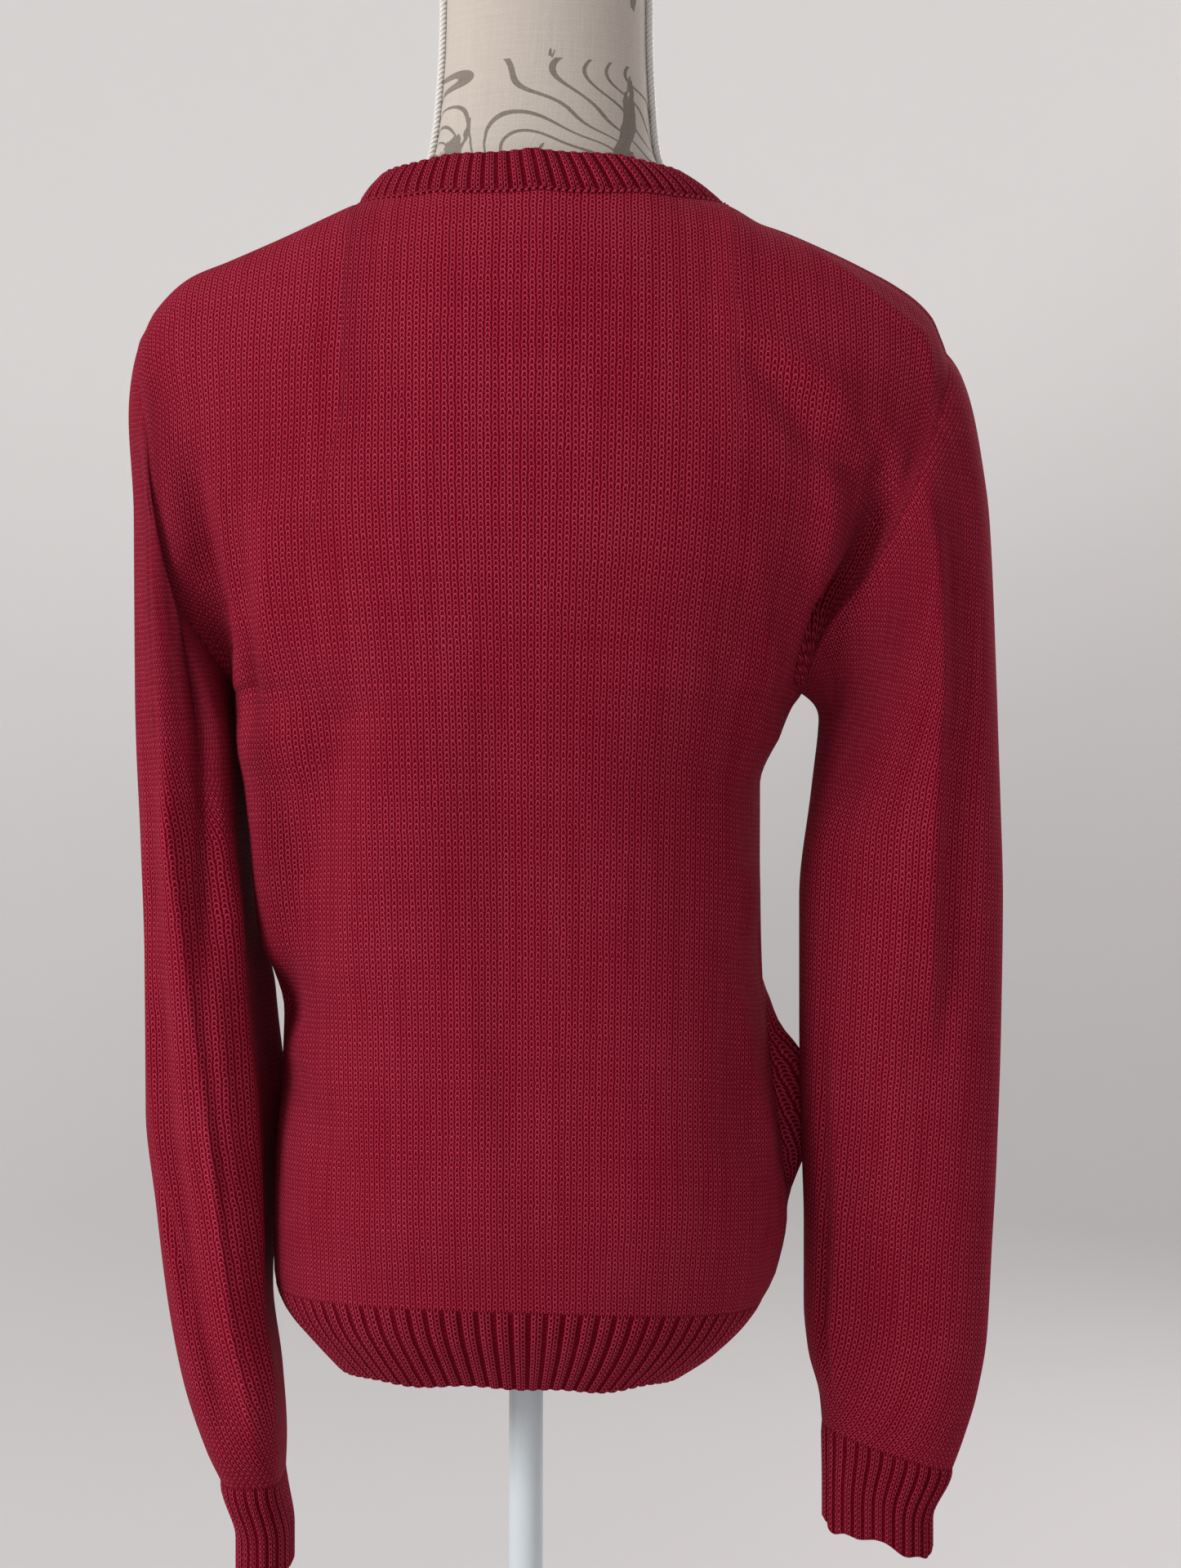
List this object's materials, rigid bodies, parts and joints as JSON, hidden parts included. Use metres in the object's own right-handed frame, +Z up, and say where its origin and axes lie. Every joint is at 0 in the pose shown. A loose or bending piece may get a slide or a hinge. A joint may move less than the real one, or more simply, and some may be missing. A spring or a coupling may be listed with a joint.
{
  "type": "christmas sweater on a dress form",
  "caption": "Long-sleeved crew-neck knit sweater with ribbed neckband, hem and cuffs, worn by a limbless fabric dress form on a pole with a round base.",
  "frame": {"origin": "centre of the round base's underside, on the pole's axis", "axes": "+Z up along the pole, the sweater's front faces -Y, the wearer's left is +X"},
  "size_m": [0.4978, 0.34, 1.5583],
  "materials": {
    "crimson_knit": "matte cotton stocking stitch and ribbing",
    "printed_linen": "matte linen with grey print",
    "pale_paint": "satin",
    "pale_wood": "satin"
  },
  "bodies": {
    "root": {"back_panel": "crimson_knit", "front_panel": "crimson_knit", "left_sleeve": "crimson_knit", "right_sleeve": "crimson_knit", "neckband": "crimson_knit", "hem_ribbing": "crimson_knit", "left_cuff": "crimson_knit", "right_cuff": "crimson_knit", "form_body": "printed_linen", "neck_cap": "pale_wood", "pole": "pale_paint", "pole_collar": "pale_paint", "stand_base": "pale_paint"}
  },
  "joints": []
}
